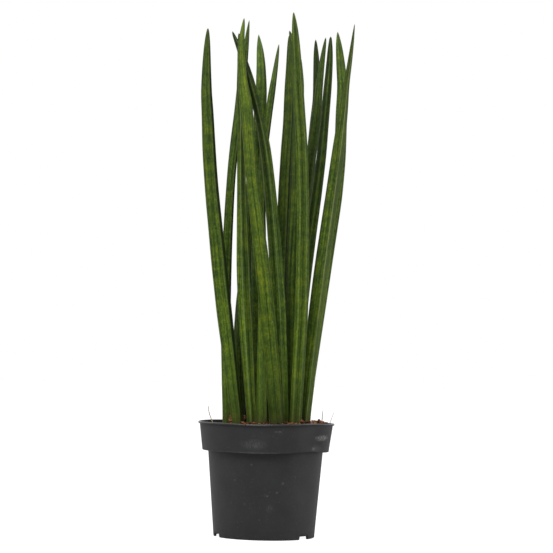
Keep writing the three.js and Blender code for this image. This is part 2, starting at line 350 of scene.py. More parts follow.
def stretched(vector, scale):
    """The vector with each of its parts multiplied."""
    return node("Mapping", {"Vector": vector, "Scale": scale}).outputs["Vector"]


def spot(vector, centre, reach):
    """A soft ball of 1 at its centre that falls to 0 at its reach, in metres along X, Y and Z."""
    inputs = {"Vector": vector, "Location": centre, "Scale": reach}
    local = node("Mapping", inputs, vector_type="TEXTURE").outputs["Vector"]
    return node("TexGradient", {"Vector": local}, gradient_type="SPHERICAL").outputs["Fac"]


def bumped(height, strength, distance):
    """Normals of a surface that stands up by distance, in metres, where height is 1."""
    inputs = {"Height": height, "Strength": strength, "Distance": distance}
    return node("Bump", inputs).outputs["Normal"]


def pot_marks(place):
    """How far the plastic is worn and highlit, shaded, darkened inside and chalky at each place.

    The lip and the lower edge of the band are worn, in patches, and carry a painted highlight.
    Painted shade lies on the wall close under the band, and in the dent. The inside of the band is
    darkened, as far as the middle of its sloping wall. Chalk lies in streaks within the reach of
    each scuff.
    """
    across, deep, up = node("SeparateXYZ", {0: place}).outputs
    squares = (maths("POWER", side, 2.0) for side in (across, deep))
    radius = maths("POWER", maths("ADD", *squares), 0.5)

    # The lip and the band's lower edge: worn in patches, with a painted highlight.
    lip = ranged(radius, RIM_RADIUS - 0.0012, RIM_RADIUS - 0.0002, 0.0, 0.04)
    low = ranged(up, BAND_BOTTOM + 0.0014, BAND_BOTTOM + 0.0004)
    outer = ranged(radius, BAND_RADIUS - 0.0008, BAND_RADIUS - 0.0003, 0.0, 0.55)
    edges = maths("MAXIMUM", lip, maths("MULTIPLY", low, outer))
    patches = noise(place, 150, detail=3, rough=0.6)
    worn_and_highlit = maths("MULTIPLY", edges, ranged(patches, 0.35, 0.65, 0.4, 1.0))

    # Painted shade on the wall close under the band, and in the dent.
    under_band = ranged(up, BAND_BOTTOM - 0.0060, BAND_BOTTOM, 0.0, 0.6)
    on_wall = maths("LESS_THAN", radius, BAND_RADIUS - 0.0040)
    in_dent = ranged(spot(place, *DENT_SHADE_SPOT), 0.0, 0.8, 0.0, 0.6)
    painted_shade = maths("MAXIMUM", maths("MULTIPLY", under_band, on_wall), in_dent)

    # The inside of the band is darker, from the middle of its wall inwards and a given height up.
    slope = (BAND_TOP_RADIUS - BAND_RADIUS) / (RIM_HEIGHT - BAND_BOTTOM)
    middle = maths("ADD", maths("MULTIPLY", up, slope),
                   BAND_RADIUS - slope * BAND_BOTTOM - WALL / 2)
    beyond = maths("SUBTRACT", radius, middle)
    darkened_inside = maths("MULTIPLY", ranged(beyond, 0.0003, -0.0002, 0.0, 0.92),
                    maths("GREATER_THAN", up, INSIDE_DARKENING_BOTTOM))

    rubbed = 0.0
    for centre, reach, strength in SCUFFS:
        near = ranged(spot(place, centre, reach), 0.0, 0.75, 0.0, strength)
        rubbed = maths("MAXIMUM", rubbed, near)
    streaks = stretched(place, (900, 900, 260))
    streaks = noise(streaks, 1.0, detail=4, rough=0.7)
    chalky = maths("MULTIPLY", rubbed, ranged(streaks, 0.40, 0.66))
    return worn_and_highlit, painted_shade, darkened_inside, chalky


def make_black_plastic():
    """Matt black plastic with a fine grain, faint clouds left by hands, dust and the marks."""
    plastic, shader = new_material("black_polypropylene")
    place = source(plastic, "TexCoord", "Object")
    clouds = noise(place, 38, detail=4, rough=0.6)
    grain = noise(place, 2600, detail=2)
    dust = noise(place, 420, detail=5, rough=0.7)
    worn_and_highlit, painted_shade, darkened_inside, chalky = pot_marks(place)
    # Dust, worn edges with painted highlights, painted shade, the darker inside, and chalk.
    colour = coated(
        ramp(clouds, PLASTIC_BLACKS),
        (ranged(dust, 0.60, 0.74, 0.0, 0.30), DUST),
        (worn_and_highlit, WORN_AND_HIGHLIT_EDGE), (painted_shade, PAINTED_SHADE_BLACK), (darkened_inside, INSIDE_DARKENING),
        (maths("MULTIPLY", chalky, 0.85), CHALK))
    rough = ranged(clouds, 0.25, 0.75, 0.33, 0.43)
    for mark, weight in ((chalky, 0.3), (darkened_inside, 0.6)):
        rough = maths("ADD", rough, maths("MULTIPLY", mark, weight), clamp=True)
    height = maths("ADD", grain, maths("MULTIPLY", dust, 1.6))
    set_inputs(shader, {"Base Color": colour, "Roughness": rough, "Specular IOR Level": 0.7,
                        "Normal": bumped(height, 0.25, 0.00008)})
    return plastic


pot = make_piece("pot_moulding", *closed_skin(pot_rings()), make_black_plastic())
cut_drains(pot)
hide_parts("pot")
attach(pot, "root")

# ------------------------------------------------------------------------------------------
# Leaves. Each is one solid, fleshy, nearly round spear that grew from the rootstock, ribbed
# lengthwise and cross-banded in two greens. It has one wide channel with pale horny margins,
# which closes towards the dry, pointed tip.
# ------------------------------------------------------------------------------------------

LEAF_COLUMNS = 108
LEAF_ROWS = 138
TIP_ROWS = 26
TIP_SHARE = 0.93  # share of a leaf's length beyond which its rows close up
TIP_CLOSING = 1.6  # how fast they do
LEAST_RADIUS = 0.00015  # radius that the tip ends in
CAD_SIDES = 12  # corners in a ring of a leaf of the frame
FLATNESS = 0.93  # thickness of a leaf as a share of its breadth
FULLNESS = 1.02  # radius as a share of that of the frame's ribs
SWAY = 0.004  # height of each slow wave of the radius along a leaf, as a share of it
SWAY_PACES = (11, 19, 31, 47)  # paces of these waves, in radians over the length
GROOVE = 0.08  # depth of a groove below the ribs, as a share of the radius
RIB_ROUNDING = 0.7
CHANNEL = 0.2  # depth of the channel below the ribs, as a share of the radius
CHANNEL_FADE = (0.5, 1.0)  # shares of the length between which the channel fades out
CHANNEL_HALF = 19  # half width of the channel's floor, in degrees
FLOOR_EDGE = (12, 34)  # where the floor's painted shade and light fade, in degrees from its middle
MARGIN_TURN, MARGIN_SPREAD = 33, 4.5  # where a margin's pale line runs, and its spread
MARKS_END = (0.97, 1.0)  # shares of the length between which floor and margins fade
SOIL_LEVEL = 0.137
GRAIN_RADIUS = 7.0  # radius of the round that the markings are laid out on, in mm
GRAIN_SPACING = 1000.0  # how far apart the leaves' markings lie, in mm

# Each leaf's warmth from 0, deep green, to 1, olive; its painted light and shade at the soil and
# at the tip, a factor on its colour for how it is lit; the painted shade on its channel's floor at
# the soil and at the tip, or painted light where it is below 0; and how pale its margins are.
LEAF_LOOKS = {
    "leaf_01": (0.45, 1.4, 0.7, 0.85, 0.80, 0.2),
    "leaf_02": (0.40, 1.6, 0.9, 0.85, 0.85, 0.3),
    "leaf_03": (0.30, 0.4, 1.1, 0.70, 0.60, 0.2),
    "leaf_04": (0.60, 2.0, 0.4, 0.40, 0.70, 0.6),
    "leaf_05": (0.30, 1.1, 1.4, 0.30, 0.10, 0.2),
    "leaf_06": (0.55, 1.4, 1.0, 0.50, 0.85, 0.3),
    "leaf_07": (0.80, 0.9, 1.1, 0.30, 0.20, 0.6),
    "leaf_08": (0.30, 2.0, 0.4, 0.00, 0.75, 0.4),
    "leaf_09": (0.45, 0.7, 0.7, 0.85, 0.70, 0.2),
    "leaf_10": (0.40, 0.7, 0.8, 0.20, 0.20, 0.1),
    "leaf_11": (0.65, 1.3, 0.9, 0.30, 0.40, 0.3),
    "leaf_12": (0.20, 0.4, 0.4, 0.70, 0.80, 0.3),
    "leaf_13": (0.30, 0.4, 0.8, 0.20, 0.20, 0.2),
    "leaf_14": (0.25, 1.2, 0.5, 0.40, 0.50, 0.2),
    "leaf_15": (0.50, 2.0, 0.9, 0.10, 0.00, 0.2),
    "leaf_16": (0.50, 1.5, 0.5, -0.50, -0.40, 0.8),
}


def smooth_through(knots, values, at):
    """A smooth curve through values at the knots, read at other places.

    Between two neighbours it is Hermite's cubic of their values and of the slopes there. The
    slope at a knot is the harmonic mean of the rises per length before and after it, and 0
    where these differ in sign, so the curve never swings past its values.
    """
    steep = np.diff(values, axis=0) / np.diff(knots)[:, None]
    before, after = steep[:-1], steep[1:]
    level = before * after <= 0
    slopes = np.where(level, 0, 2 * before * after / np.where(level, 1, before + after))
    slopes = np.concatenate([steep[:1], slopes, steep[-1:]])
    k = np.clip(np.searchsorted(knots, at, side="right") - 1, 0, len(knots) - 2)
    span = (knots[k + 1] - knots[k])[:, None]
    t = (at - knots[k])[:, None] / span
    rise = values[k + 1] - values[k]
    return (values[k] + rise * t * t * (3 - 2 * t)
            + span * t * (1 - t) * ((1 - t) * slopes[k] - t * slopes[k + 1]))


def square_axes(tangents):
    """Two unit axes square to each tangent: the first as near to +X as it can be, then back."""
    side = np.array([1.0, 0, 0]) - tangents * tangents[:, :1]
    side /= np.linalg.norm(side, axis=1, keepdims=True)
    return side, np.cross(tangents, side)


def laid_flat(points, middles, side, back):
    """How far each ring's points lie across and back from its middle, as if it were round."""
    spokes = points - middles[:, None]
    return (spokes * side[:, None]).sum(axis=2), (spokes * back[:, None]).sum(axis=2) / FLATNESS


def read_leaf(name):
    """The run of a leaf of the frame: its spine, its radii and the way its channel faces.

    Sorted by height its corners are the foot's middle and ring, one ring after another, and the
    tip. Every second corner of a ring is a rib, and the ribs' mean is on the spine. The corner
    of the foot that reaches least is the channel's middle.
    """
    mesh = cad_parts[name].data
    corners = np.empty(3 * len(mesh.vertices))
    mesh.vertices.foreach_get("co", corners)
    corners = np.unique(corners.reshape(-1, 3).round(6), axis=0)
    corners = corners[np.argsort(corners[:, 2])]
    foot, rest, tip = corners[:CAD_SIDES + 1], corners[CAD_SIDES + 1:-1], corners[-1]
    off = np.linalg.norm(foot - foot.mean(axis=0), axis=1)
    rings = np.concatenate([np.delete(foot, off.argmin(), axis=0), rest])
    rings = rings.reshape(-1, CAD_SIDES, 3)

    middles = rings.mean(axis=1)
    tangents = np.gradient(np.concatenate([middles, [tip]]), axis=0)[:-1]
    tangents /= np.linalg.norm(tangents, axis=1, keepdims=True)
    side, back = square_axes(tangents)
    across, deep = laid_flat(rings, middles, side, back)
    channel = np.arctan2(deep[0], across[0])[np.hypot(across[0], deep[0]).argmin()]
    step = np.degrees(np.arctan2(deep, across) - channel) * CAD_SIDES / 360
    order = np.argsort(step.round().astype(int) % CAD_SIDES, axis=1)
    ribs = np.take_along_axis(rings, order[:, :, None], axis=1)[:, 1::2]

    spine = ribs.mean(axis=1)
    radii = np.hypot(*laid_flat(ribs, spine, side, back)).mean(axis=1)
    return np.concatenate([spine, [tip]]), np.append(radii, 0.0), channel


def leaf_surface(name, seed):
    """The skin of one leaf, as rings of points, with what its markings follow.

    With turn measured from the middle of the channel, a ring's radius is R times
    1 - groove * (1 - |sin 3 turn|^rounding) - channel * exp(-(turn / half)^2), with the
    channel's depth counted from the grooves. R and the middle of the ring run smoothly along
    the leaf of the frame, and R sways by a sum of slow sines.
    """
    spine, radii, channel = read_leaf(name)
    length = np.append(0, np.cumsum(np.linalg.norm(np.diff(spine, axis=0), axis=1)))
    knots = length / length[-1]
    low = np.linspace(0, TIP_SHARE, LEAF_ROWS, endpoint=False)
    close = 1 - (1 - TIP_SHARE) * np.linspace(1, 0, TIP_ROWS, endpoint=False) ** TIP_CLOSING
    along = np.concatenate([low, close])
    centres = smooth_through(knots, spine, along)
    tangents = np.gradient(centres, along, axis=0)
    tangents /= np.linalg.norm(tangents, axis=1, keepdims=True)
    side, back = square_axes(tangents)

    phases = np.random.default_rng(seed).uniform(0, 2 * math.pi, len(SWAY_PACES))
    sway = sum(np.sin(along * pace + phase) for pace, phase in zip(SWAY_PACES, phases))
    radius = smooth_through(knots, radii[:, None], along)
    radius = np.maximum(radius * (FULLNESS + SWAY * sway[:, None]), LEAST_RADIUS)

    turns = np.linspace(-math.pi, math.pi, LEAF_COLUMNS, endpoint=False)[None]
    rib = np.abs(np.sin(3 * turns)) ** RIB_ROUNDING
    share = np.clip((centres[:, 2] - SOIL_LEVEL) / (spine[-1, 2] - SOIL_LEVEL), 0, 1)[:, None]
    fade = 1 - smoothstep(*CHANNEL_FADE, share)
    floor = np.exp(-(turns / math.radians(CHANNEL_HALF)) ** 2)
    reach = radius * (1 - GROOVE * (1 - rib) - np.maximum(CHANNEL * fade - GROOVE, 0) * floor)
    facing = turns + channel
    rings = (centres[:, None]
             + (reach * np.cos(facing))[:, :, None] * side[:, None]
             + (reach * np.sin(facing) * FLATNESS)[:, :, None] * back[:, None])

    # The grain gives each place on the skin in mm, round the leaf and along it.
    grain = np.stack([
        GRAIN_RADIUS * np.cos(turns) + 0 * along[:, None],
        GRAIN_RADIUS * np.sin(turns) + 0 * along[:, None],
        1000 * length[-1] * along[:, None] + GRAIN_SPACING * seed + 0 * turns,
    ], axis=-1)
    warmth, painted_lighting_low, painted_lighting_high, channel_shading_low, channel_shading_high, pale = LEAF_LOOKS[name]
    away = np.abs(np.degrees(turns))
    fading = 1 - smoothstep(*MARKS_END, share)
    marks = {
        "rib": rib + 0 * along[:, None],
        # Painted shade on the channel's floor, and painted light where it is below 0.
        "painted_channel_shading": (channel_shading_low + (channel_shading_high - channel_shading_low) * share) * fading
                  * (1 - smoothstep(*FLOOR_EDGE, away)),
        "margin": pale * fading * np.exp(-((away - MARGIN_TURN) / MARGIN_SPREAD) ** 2),
        "share": share + 0 * turns,
        "warmth": np.full(reach.shape, warmth),
        # Painted light and shade: a factor on the leaf's colour for how it is lit.
        "light": painted_lighting_low + (painted_lighting_high - painted_lighting_low) * share + 0 * turns,
    }
    return rings, grain, marks


def with_ends(grid):
    """A grid's values in the order of closed_skin's points: the grid, then its ends' means."""
    ends = np.stack([grid[0].mean(axis=0), grid[-1].mean(axis=0)])
    return np.concatenate([grid.reshape(-1, *grid.shape[2:]), ends]).ravel()


# Linear colours of the skin: its greens from the dark bands to the light ones, and the rest.
SKIN_GREENS = [(0.00, (0.016, 0.036, 0.007)), (0.35, (0.044, 0.080, 0.012)),
               (0.60, (0.084, 0.134, 0.013)), (1.00, (0.185, 0.230, 0.013))]
LINE_GREEN = (0.014, 0.034, 0.003)
TOP_GREEN = (0.09, 0.13, 0.06)
FOOT_GREEN = (0.052, 0.082, 0.012)
# Painted shade and painted light for the channel's floor.
FLOOR_PAINTED_SHADE = (0.007, 0.014, 0.002)
FLOOR_PAINTED_LIGHT = (0.120, 0.165, 0.050)
MARGIN_PALE = (0.260, 0.290, 0.130)
DRY_TIP = (0.160, 0.140, 0.090)
SOILED_FOOT = (0.060, 0.050, 0.020)
SCAR = (0.420, 0.400, 0.300)


def make_leaf_skin():
    """Waxy leaf skin, marked along and across the leaf in its own grain, which is in mm."""
    skin, shader = new_material("leaf_skin")
    grain = source(skin, "Attribute", "Vector", attribute_name="grain")
    rib, painted_channel_shading, margin, share, warmth, light = (
        source(skin, "Attribute", "Fac", attribute_name=mark)
        for mark in ("rib", "painted_channel_shading", "margin", "share", "warmth", "light"))

    def pattern(across, along, **settings):
        """Noise of features so many mm across and along the leaf, clamped from 0 to 1."""
        scale = (1 / across, 1 / across, 1 / along)
        made = noise(stretched(grain, scale), 1.0, **settings)
        return ranged(made, 0.30, 0.70)

    # Tone: patches and weak cross bands, long stripes, short dashes and fine specks.
    patches = pattern(9, 26, detail=3, rough=0.6)
    bands = pattern(18, 9, detail=3, rough=0.6, distortion=0.4)
    stripes = pattern(1.8, 60, detail=2, rough=0.6)
    dashes = pattern(1.6, 5.0, detail=2)
    specks = pattern(1.5, 2.2, detail=1)
    tone = 0.0
    for part, weight in ((warmth, 0.55), (patches, 0.25), (bands, 0.55), (stripes, 0.80),
                         (dashes, 0.50), (specks, 0.40)):
        tone = maths("ADD", tone, maths("MULTIPLY", part, weight))
    tone = ranged(tone, 0.65, 2.45)
    lines = noise(stretched(grain, (0.62, 0.62, 0.009)), 1.0, detail=2)
    colour = coated(
        ramp(tone, SKIN_GREENS),
        (ranged(lines, 0.55, 0.66, 0.0, 0.5), LINE_GREEN),
        (ranged(share, 0.3, 1.0, 0.0, 0.10), TOP_GREEN),
        (ranged(share, 0.0, 0.25, 0.55, 0.0), FOOT_GREEN))

    # Painted light and shade: each leaf's lightness, a factor for how it is lit, with painted shade
    # in the grooves and towards the foot.
    shade = maths("MULTIPLY", light, ranged(rib, 0.05, 0.60, 0.55, 1.0))
    shade = maths("MULTIPLY", shade, ranged(share, 0.0, 0.12, 0.60, 1.0))
    colour = mixed(1.0, colour, shade, mode="MULTIPLY")

    # Painted shade on the channel's floor and painted light where it is below 0, the margins, the
    # dry tip, the soiled foot and a few old scars.
    broken = ranged(pattern(10, 25), 0.0, 0.7, 0.4, 0.9)
    ragged = maths("ADD", share, maths("MULTIPLY", dashes, 0.012))
    scars = noise(stretched(grain, (0.9, 0.9, 0.30)), 0.8, detail=1)
    colour = coated(
        colour, (painted_channel_shading, FLOOR_PAINTED_SHADE), (maths("MULTIPLY", painted_channel_shading, -1.0), FLOOR_PAINTED_LIGHT),
        (maths("MULTIPLY", margin, broken), MARGIN_PALE),
        (ranged(share, 0.996, 1.001), DRY_TIP),
        (ranged(ragged, 0.012, 0.045, 0.50, 0.0), SOILED_FOOT),
        (ranged(scars, 0.785, 0.81, 0.0, 0.5), SCAR))
    height = maths("ADD", stripes, maths("MULTIPLY", dashes, 0.35))
    set_inputs(shader, {
        "Base Color": colour, "Roughness": ranged(stripes, 0.0, 1.0, 0.46, 0.58),
        "Specular IOR Level": 0.10, "Normal": bumped(height, 0.4, 0.00015)})
    return skin


leaf_skin = make_leaf_skin()
for number, leaf_name in enumerate(sorted(LEAF_LOOKS), start=1):
    rings, grain, marks = leaf_surface(leaf_name, number)
    blade = make_piece(leaf_name.replace("leaf", "blade"), *closed_skin(rings), leaf_skin)
    stored = blade.data.attributes.new("grain", "FLOAT_VECTOR", "POINT")
    stored.data.foreach_set("vector", with_ends(grain))
    for mark, values in marks.items():
        stored = blade.data.attributes.new(mark, "FLOAT", "POINT")
        stored.data.foreach_set("value", with_ends(values))
    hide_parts(leaf_name)
    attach(blade, "root")

# ------------------------------------------------------------------------------------------
# Soil. Peat and coir with shredded bark, poured into the pot, watered down and mounded up
# round the leaves. The root ball fills the pot to its wall, and each leaf stands in a hole.
# ------------------------------------------------------------------------------------------

SOIL_TILT = 0.03  # rise towards +X
MOUNDS = [(0.012, -0.018, 0.0050, 0.058), (0.066, -0.033, 0.0030, 0.015)]  # x, y, rise, spread
SOIL_GAP = 0.0003  # clearance between the soil and the pot
SOCKET_GAP = 0.00025
SOCKET_TOP = 0.03  # height of a socket's cutter above the soil
SOIL_AXIS_RADIUS = 0.01  # the underside's smallest ring
TOP_EDGE, TOP_MIDDLE = 0.0002, 0.0008  # step in to the top's first ring, and its smallest ring
SOIL_STEP = 0.012
SOIL_RINGS, SOIL_COLUMNS = 96, 480
COARSE, FINE = 0.0036, 0.0016  # breadth of the coarse and of the fine grains
COARSE_RISE, FINE_RISE = 0.0019, 0.0007
GRAIN_REACH = 0.75  # half breadth of a grain at its foot, in steps of the lattice
LEAST_GRAIN = 0.25  # height of the lowest grain, as a share of the tallest

# Linear colours of the mix, from peat by coir to bark, and of the fibres in it.
MIX_BROWNS = [(0.00, (0.010, 0.007, 0.005)), (0.35, (0.030, 0.015, 0.009)),
              (0.60, (0.085, 0.035, 0.016)), (0.82, (0.170, 0.060, 0.023)),
              (1.00, (0.300, 0.150, 0.068))]
DARK_FIBRE = (0.012, 0.007, 0.004)


def soil_level(x, y):
    """Height of the soil without its grains: a tilted plane and two round mounds."""
    return SOIL_LEVEL + SOIL_TILT * x + sum(
        rise * np.exp(-((x - across) ** 2 + (y - deep) ** 2) / spread ** 2)
        for across, deep, rise, spread in MOUNDS)


def lattice_random(i, j, seed):
    """A repeatable number from 0 to 1 for each place of a square lattice: frac(sin(...) 43758)."""
    return np.modf(np.abs(np.sin(i * 12.9898 + j * 78.233 + seed * 37.719) * 43758.5453))[0]


def grains(x, y, size, seed):
    """Domes over a jittered lattice: from 0 between the grains to 1 on top of the tallest.

    Each place takes the highest of tall * sqrt(1 - (d / reach)^2) over the nine lattice points
    round it, with d the distance in lattice steps and tall each grain's own height.
    """
    u, v = x / size, y / size
    highest = np.zeros(np.broadcast(x, y).shape)
    for di in (-1, 0, 1):
        for dj in (-1, 0, 1):
            i, j = np.floor(u) + di, np.floor(v) + dj
            du = i + lattice_random(i, j, seed) - u
            dv = j + lattice_random(i, j, seed + 1) - v
            tall = LEAST_GRAIN + (1 - LEAST_GRAIN) * lattice_random(i, j, seed + 2)
            dome = np.sqrt(np.clip(1 - (du ** 2 + dv ** 2) / GRAIN_REACH ** 2, 0, 1))
            highest = np.maximum(highest, tall * dome)
    return highest


def make_potting_mix(name, by_crumb):
    """Dark peat, brown coir and orange bark, by place or by a crumb's own shade."""
    mix, shader = new_material(name)
    place = source(mix, "TexCoord", "Object")
    if by_crumb:
        clumps = noise(place, 240, detail=4, rough=0.7)
        shade = source(mix, "Attribute", "Fac", attribute_name="shade")
        shade = maths("ADD", shade, ranged(clumps, 0.3, 0.7, -0.07, 0.07))
    else:
        cells = node("TexVoronoi", {"Vector": place, "Scale": 330}).outputs["Color"]
        shade = node("SeparateColor", {0: cells}).outputs[0]
        shade = maths("MULTIPLY", shade, 0.62)
    fibres = noise(stretched(place, (1500, 700, 2400)), 1.0, detail=3)
    colour = coated(ramp(shade, MIX_BROWNS),
                    (ranged(fibres, 0.4, 0.7, 0.0, 0.45), DARK_FIBRE))
    set_inputs(shader, {"Base Color": colour, "Roughness": 0.95, "Specular IOR Level": 0.2,
                        "Normal": bumped(fibres, 0.8, 0.0004)})
    return mix


def make_soil():
    """The root ball: the pot's inside less its clearance, under a grained top.

    The top's rings run from the edge to the middle, and a place on it stands at the soil's
    level plus its coarse and its fine grains, less half of their rise.
    """
    lowest = SOIL_LEVEL - SOIL_TILT * RIM_RADIUS - COARSE_RISE
    edge = band_radius(lowest) - WALL - SOIL_GAP
    underside, shoulder = FLOOR_TOP + SOIL_GAP, SHELF_TOP + SOIL_GAP
    corners = [
        (SOIL_AXIS_RADIUS, underside, 0),
        (wall_radius(FLOOR_TOP) - WALL - SOIL_GAP, underside, 0.002),
        (wall_radius(SHELF_TOP) - WALL - SOIL_GAP, shoulder, 0.0006),
        (band_radius(SHELF_TOP) - WALL - SOIL_GAP, shoulder, 0.0006), (edge, lowest, 0),
    ]
    radius, height = eased_profile(corners, SOIL_STEP).T[:, :, None]
    turns = np.linspace(-math.pi, math.pi, SOIL_COLUMNS, endpoint=False)[None]
    body = lathed(radius, height, turns)
    radius = np.linspace(edge - TOP_EDGE, TOP_MIDDLE, SOIL_RINGS)[:, None]
    x, y = radius * np.cos(turns), radius * np.sin(turns)
    coarse, fine = grains(x, y, COARSE, 3) - 0.5, grains(x, y, FINE, 9) - 0.5
    relief = COARSE_RISE * coarse + FINE_RISE * fine
    top = np.stack([x, y, soil_level(x, y) + relief], axis=-1)
    soil = make_piece("potting_soil", *closed_skin(np.concatenate([body, top])),
                      make_potting_mix("potting_mix", by_crumb=False))
    for leaf_name in LEAF_LOOKS:
        cut(soil, *leaf_socket(leaf_name))
    return soil


def leaf_socket(name):
    """The hole for a leaf's foot: the foot's rings, each corner moved out by the clearance.

    One seed serves every leaf here, because the sway is less than the clearance.
    """
    rings = leaf_surface(name, seed=1)[0]
    rings = rings[rings[:, :, 2].min(axis=1) < SOIL_LEVEL + SOCKET_TOP][:, ::3]
    middles = rings.mean(axis=1, keepdims=True)
    spokes = rings - middles
    grown = rings + spokes / np.linalg.norm(spokes, axis=2, keepdims=True) * SOCKET_GAP
    grown[0, :, 2] -= SOCKET_GAP
    return closed_skin(grown)


soil = make_soil()
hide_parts("soil")
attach(soil, "root")

# ------------------------------------------------------------------------------------------
# Crumbs. Loose bits of bark, coir pith and peat that lie on the soil, some of them caught
# against the leaves and one spilled on the lip. They're irregular and a few millimetres long.
# ------------------------------------------------------------------------------------------

CRUMB_COUNT = 900
CRUMB_SIZES = (0.0007, 0.0021)  # least and greatest half length
CRUMB_FIELD = 0.0765  # radius that the scattered crumbs stay within
CRUMB_ROOM = 1.1  # clearance from the leaves, in half lengths
CRUMB_BED = COARSE_RISE * 0.4  # height of the grains that the crumbs lie on
CRUMB_LIFT = 0.7  # greatest height of a crumb's middle above them, in half lengths
CRUMB_SHADES = (1.6, 2.0)  # the two shapes of a beta distribution
CRUMB_ROUGHNESS = 0.17
CRUMB_STRETCHES = (1.0, 0.45, 0.35), (1.25, 0.95, 0.7)  # least and greatest, along its axes
PASSING_HEIGHT = 0.140  # height where crumbs and fibres meet the leaves

# Bits that lie where they're seen from the front: place, half length and shade.
NEAR_CRUMBS = [
    ((-0.0435, -0.0490, 0.1440), 0.0020, 0.86), ((-0.0440, -0.0485, 0.1478), 0.0017, 0.78),
    ((-0.0452, -0.0478, 0.1455), 0.0014, 0.99), ((-0.0430, -0.0495, 0.1410), 0.0018, 0.92),
    ((-0.0270, -0.0330, 0.1500), 0.0016, 0.84), ((-0.0268, -0.0335, 0.1475), 0.0015, 0.74),
    ((-0.0280, -0.0690, 0.1425), 0.0021, 0.88), ((-0.0252, -0.0700, 0.1418), 0.0018, 0.80),
    ((-0.0305, -0.0680, 0.1405), 0.0019, 0.70), ((-0.0228, -0.0705, 0.1400), 0.0016, 0.90),
    ((-0.0254, -0.0828, 0.1412), 0.0013, 0.88), ((-0.0263, -0.0838, 0.1402), 0.0010, 0.82),
    ((-0.0150, -0.0712, 0.1424), 0.0022, 0.80), ((-0.0130, -0.0705, 0.1412), 0.0018, 0.62),
    ((0.0270, -0.0715, 0.1420), 0.0019, 0.84), ((0.0300, -0.0725, 0.1428), 0.0021, 0.90),
    ((0.0330, -0.0700, 0.1430), 0.0022, 0.82), ((0.0362, -0.0690, 0.1425), 0.0019, 0.88),
    ((0.0425, -0.0640, 0.1445), 0.0023, 0.72), ((0.0440, -0.0650, 0.1462), 0.0020, 0.80),
    ((0.0412, -0.0645, 0.1430), 0.0019, 0.92), ((0.0450, -0.0645, 0.1432), 0.0020, 0.66),
    ((0.0560, -0.0560, 0.1436), 0.0021, 0.86), ((0.0600, -0.0520, 0.1438), 0.0020, 0.90),
    ((0.0640, -0.0480, 0.1441), 0.0017, 0.05), ((0.0675, -0.0430, 0.1428), 0.0019, 0.84),
    ((0.0715, -0.0330, 0.1420), 0.0018, 0.80), ((0.0740, -0.0200, 0.1420), 0.0018, 0.88),
    ((0.0500, -0.0480, 0.1450), 0.0020, 0.84), ((0.0535, -0.0440, 0.1452), 0.0021, 0.78),
    ((0.0565, -0.0420, 0.1455), 0.0019, 0.90), ((0.0590, -0.0390, 0.1452), 0.0021, 0.70),
    ((0.0620, -0.0360, 0.1450), 0.0019, 0.86), ((0.0655, -0.0370, 0.1460), 0.0020, 0.04),
    ((0.0640, -0.0420, 0.1445), 0.0020, 0.82), ((0.0690, -0.0330, 0.1446), 0.0018, 0.88),
    ((0.0575, -0.0500, 0.1448), 0.0022, 0.86), ((0.0610, -0.0450, 0.1452), 0.0019, 0.92),
    ((0.0670, -0.0400, 0.1447), 0.0021, 0.84), ((0.0705, -0.0300, 0.1443), 0.0020, 0.78),
    ((0.0735, -0.0250, 0.1436), 0.0020, 0.86), ((0.0755, -0.0180, 0.1430), 0.0018, 0.10),
    ((-0.0445, -0.0480, 0.1500), 0.0012, 0.90), ((-0.0425, -0.0485, 0.1512), 0.0009, 0.80),
]


def room_at(x, y):
    """How far each place on the soil lies from the nearest leaf's skin."""
    room = np.full(len(x), np.inf)
    for name in LEAF_LOOKS:
        spine, radii, _ = read_leaf(name)
        across, deep, radius = (np.interp(PASSING_HEIGHT, spine[:, 2], run)
                                for run in (spine[:, 0], spine[:, 1], radii))
        room = np.minimum(room, np.hypot(x - across, y - deep) - radius)
    return room


def strewn(random, count, reach):
    """x and y of places spread evenly over a disc that goes out to reach."""
    radius = reach * np.sqrt(random.uniform(0, 1, count))
    turn = random.uniform(0, 2 * math.pi, count)
    return radius * np.cos(turn), radius * np.sin(turn)


def scattered_crumbs(random):
    """Places, half lengths and shades of the crumbs strewn over the soil, clear of the leaves."""
    tries = 4 * CRUMB_COUNT
    x, y = strewn(random, tries, CRUMB_FIELD)
    least, greatest = CRUMB_SIZES
    sizes = least + (greatest - least) * random.uniform(0, 1, tries) ** 2
    free = np.flatnonzero(room_at(x, y) > sizes * CRUMB_ROOM)[:CRUMB_COUNT]
    x, y, sizes = x[free], y[free], sizes[free]
    lift = sizes * random.uniform(0, CRUMB_LIFT, len(free))
    places = np.stack([x, y, soil_level(x, y) + CRUMB_BED + lift], axis=-1)
    return places, sizes, random.beta(*CRUMB_SHADES, len(free))


def unit_ball():
    """Corners and faces of an icosahedron with each face split in four, on the unit ball.

    Its corners are (0, 1, golden ratio) with every sign and turn, and neighbours lie 2 apart.
    """
    golden = (1 + 5 ** 0.5) / 2
    corners = [(s, t * golden, 0) for s in (-1, 1) for t in (-1, 1)]
    corners = np.array([np.roll(corner, k) for k in range(3) for corner in corners], float)
    near = np.linalg.norm(corners[:, None] - corners, axis=2) < 2.1
    faces = np.array([(a, b, c) for a in range(12) for b in range(a) for c in range(b)
                      if near[a, b] and near[b, c] and near[a, c]])
    a, b, c = (corners[faces[:, k]] for k in range(3))
    inward = np.einsum("fi,fi->f", np.cross(b - a, c - a), a + b + c) < 0
    faces[inward] = faces[inward][:, ::-1]
    sides = np.sort(np.concatenate([faces[:, [0, 1]], faces[:, [1, 2]], faces[:, [2, 0]]]), axis=1)
    sides, middle = np.unique(sides, axis=0, return_inverse=True)
    ab, bc, ca = middle.reshape(3, -1) + len(corners)
    a, b, c = faces.T
    split = np.concatenate([np.stack(t, axis=-1) for t in
                            ((a, ab, ca), (ab, b, bc), (ca, bc, c), (ab, bc, ca))])
    corners = np.concatenate([corners, corners[sides].mean(axis=1)])
    return corners / np.linalg.norm(corners, axis=1, keepdims=True), split


